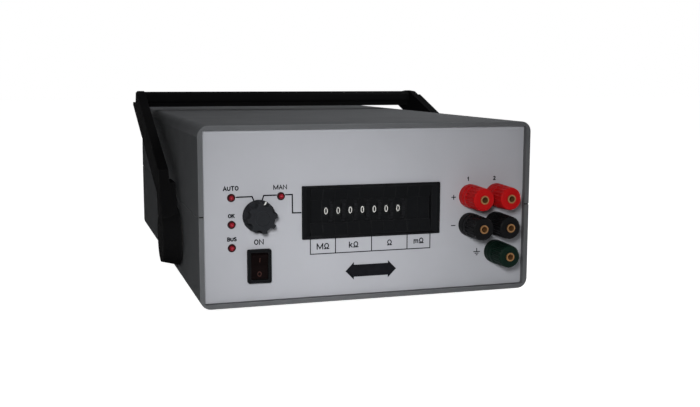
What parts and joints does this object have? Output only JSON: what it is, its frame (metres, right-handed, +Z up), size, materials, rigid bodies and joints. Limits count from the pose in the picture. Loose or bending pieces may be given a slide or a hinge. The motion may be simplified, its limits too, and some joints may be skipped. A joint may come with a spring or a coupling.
{
  "type": "decade resistance box",
  "caption": "Bench decade resistance box: grey two-shell case with tilting carry handle, thumbwheel bank, selector knob, lamps, rocker switch and red, black and green binding posts.",
  "frame": {"origin": "on the bench under the middle of the whole object's bounding box", "axes": "+X to the right seen from the front panel, +Y to the back, +Z up"},
  "size_m": [0.2492, 0.3696, 0.1332],
  "materials": {
    "case_plastic": "fine-textured moulded plastic",
    "panel_paint": "satin light grey",
    "handle_black": "satin black",
    "black_plastic": "satin black",
    "wheel_black": "black with white numerals",
    "red_plastic": "moulded red",
    "post_black": "moulded black",
    "green_plastic": "moulded dark green",
    "lens_red": "clear deep red",
    "contact_metal": "gold plated",
    "steel": "plated",
    "rubber": "matte",
    "washer_fibre": "matte",
    "bush_plastic": "natural",
    "board": "solder-resist green",
    "relay_black": "moulded",
    "resistor": "moulded",
    "switch_body": "moulded",
    "core_steel": "varnished laminations"
  },
  "bodies": {
    "case": {"upper_shell": "case_plastic", "lower_shell": "case_plastic", "front_panel": "panel_paint", "rear_panel": "panel_paint", "rubber_feet": "rubber", "machine_screws": "steel", "pivot_studs": "steel", "pivot_washers": "washer_fibre", "pivot_screws": "steel", "thumbwheel_bezel": "black_plastic", "wheel_housings": "black_plastic", "blank_modules": "black_plastic", "wheel_axle": "steel", "tie_rods": "steel", "switch_boards": "board", "selector_switch": "switch_body", "selector_nut": "steel", "power_switch": "black_plastic", "lamp_holders": "black_plastic", "lamp_lenses": "lens_red", "post_studs": "contact_metal", "red_post_bases": "red_plastic", "black_post_bases": "post_black", "green_post_base": "green_plastic", "post_bushes": "bush_plastic", "post_nuts": "contact_metal", "relay_board": "board", "relays": "relay_black", "range_resistors": "resistor", "logic_board": "board", "transformer": "core_steel", "mains_inlet": "black_plastic", "inlet_pins": "steel", "interface_connector": "steel"},
    "handle": {"handle_arm_left": "handle_black", "handle_arm_right": "handle_black", "handle_grip": "handle_black", "grip_screws": "steel", "hub_caps": "handle_black"},
    "selector": {"selector_knob": "black_plastic", "knob_cap": "black_plastic", "selector_shaft": "steel"},
    "rocker": {"power_rocker": "black_plastic"},
    "wheel_1": {"digit_wheel_1": "wheel_black"},
    "wheel_2": {"digit_wheel_2": "wheel_black"},
    "wheel_3": {"digit_wheel_3": "wheel_black"},
    "wheel_4": {"digit_wheel_4": "wheel_black"},
    "wheel_5": {"digit_wheel_5": "wheel_black"},
    "wheel_6": {"digit_wheel_6": "wheel_black"},
    "wheel_7": {"digit_wheel_7": "wheel_black"},
    "hi_a_clamp": {"hi_ring_a": "contact_metal"},
    "hi_a_cap": {"hi_cap_a": "red_plastic"},
    "hi_b_clamp": {"hi_ring_b": "contact_metal"},
    "hi_b_cap": {"hi_cap_b": "red_plastic"},
    "lo_a_clamp": {"lo_ring_a": "contact_metal"},
    "lo_a_cap": {"lo_cap_a": "post_black"},
    "lo_b_clamp": {"lo_ring_b": "contact_metal"},
    "lo_b_cap": {"lo_cap_b": "post_black"},
    "ground_clamp": {"ground_ring": "contact_metal"},
    "ground_cap": {"ground_cap": "green_plastic"}
  },
  "joints": [
    {"name": "handle_tilt", "type": "hinge", "parent": "case", "child": "handle", "pos_m": [0, -0.0783, 0.036], "axis": [1, 0, 0], "range_deg": [0, 177]},
    {"name": "wheel_1_turn", "type": "hinge", "parent": "case", "child": "wheel_1", "pos_m": [-0.02772, -0.1484, 0.0611], "axis": [1, 0, 0], "continuous": true},
    {"name": "wheel_2_turn", "type": "hinge", "parent": "case", "child": "wheel_2", "pos_m": [-0.01957, -0.1484, 0.0611], "axis": [1, 0, 0], "continuous": true},
    {"name": "wheel_3_turn", "type": "hinge", "parent": "case", "child": "wheel_3", "pos_m": [-0.01142, -0.1484, 0.0611], "axis": [1, 0, 0], "continuous": true},
    {"name": "wheel_4_turn", "type": "hinge", "parent": "case", "child": "wheel_4", "pos_m": [-0.00328, -0.1484, 0.0611], "axis": [1, 0, 0], "continuous": true},
    {"name": "wheel_5_turn", "type": "hinge", "parent": "case", "child": "wheel_5", "pos_m": [0.00487, -0.1484, 0.0611], "axis": [1, 0, 0], "continuous": true},
    {"name": "wheel_6_turn", "type": "hinge", "parent": "case", "child": "wheel_6", "pos_m": [0.01303, -0.1484, 0.0611], "axis": [1, 0, 0], "continuous": true},
    {"name": "wheel_7_turn", "type": "hinge", "parent": "case", "child": "wheel_7", "pos_m": [0.02117, -0.1484, 0.0611], "axis": [1, 0, 0], "continuous": true},
    {"name": "selector_turn", "type": "hinge", "parent": "case", "child": "selector", "pos_m": [-0.0734, -0.1614, 0.0604], "axis": [0, -1, 0], "range_deg": [0, 30]},
    {"name": "rocker_tilt", "type": "hinge", "parent": "case", "child": "rocker", "pos_m": [-0.0734, -0.1614, 0.029], "axis": [-1, 0, 0], "range_deg": [0, 20]},
    {"name": "hi_a_lift", "type": "slide", "parent": "case", "child": "hi_a_clamp", "axis": [0, -1, 0], "range_m": [0, 0.005]},
    {"name": "hi_a_unscrew", "type": "hinge", "parent": "hi_a_clamp", "child": "hi_a_cap", "pos_m": [0.0694, -0.1699, 0.0678], "axis": [0, -1, 0], "range_deg": [0, 1800.5]},
    {"name": "hi_b_lift", "type": "slide", "parent": "case", "child": "hi_b_clamp", "axis": [0, -1, 0], "range_m": [0, 0.005]},
    {"name": "hi_b_unscrew", "type": "hinge", "parent": "hi_b_clamp", "child": "hi_b_cap", "pos_m": [0.08845, -0.1699, 0.0678], "axis": [0, -1, 0], "range_deg": [0, 1800.5]},
    {"name": "lo_a_lift", "type": "slide", "parent": "case", "child": "lo_a_clamp", "axis": [0, -1, 0], "range_m": [0, 0.005]},
    {"name": "lo_a_unscrew", "type": "hinge", "parent": "lo_a_clamp", "child": "lo_a_cap", "pos_m": [0.0694, -0.1699, 0.04875], "axis": [0, -1, 0], "range_deg": [0, 1800.5]},
    {"name": "lo_b_lift", "type": "slide", "parent": "case", "child": "lo_b_clamp", "axis": [0, -1, 0], "range_m": [0, 0.005]},
    {"name": "lo_b_unscrew", "type": "hinge", "parent": "lo_b_clamp", "child": "lo_b_cap", "pos_m": [0.08845, -0.1699, 0.04875], "axis": [0, -1, 0], "range_deg": [0, 1800.5]},
    {"name": "ground_lift", "type": "slide", "parent": "case", "child": "ground_clamp", "axis": [0, -1, 0], "range_m": [0, 0.005]},
    {"name": "ground_unscrew", "type": "hinge", "parent": "ground_clamp", "child": "ground_cap", "pos_m": [0.08845, -0.1699, 0.0297], "axis": [0, -1, 0], "range_deg": [0, 1800.5]}
  ],
  "couplings": [
    {"joint": "hi_a_unscrew", "follows": "hi_a_lift", "rad_per_m": 6283.2},
    {"joint": "hi_b_unscrew", "follows": "hi_b_lift", "rad_per_m": 6283.2},
    {"joint": "lo_a_unscrew", "follows": "lo_a_lift", "rad_per_m": 6283.2},
    {"joint": "lo_b_unscrew", "follows": "lo_b_lift", "rad_per_m": 6283.2},
    {"joint": "ground_unscrew", "follows": "ground_lift", "rad_per_m": 6283.2}
  ]
}
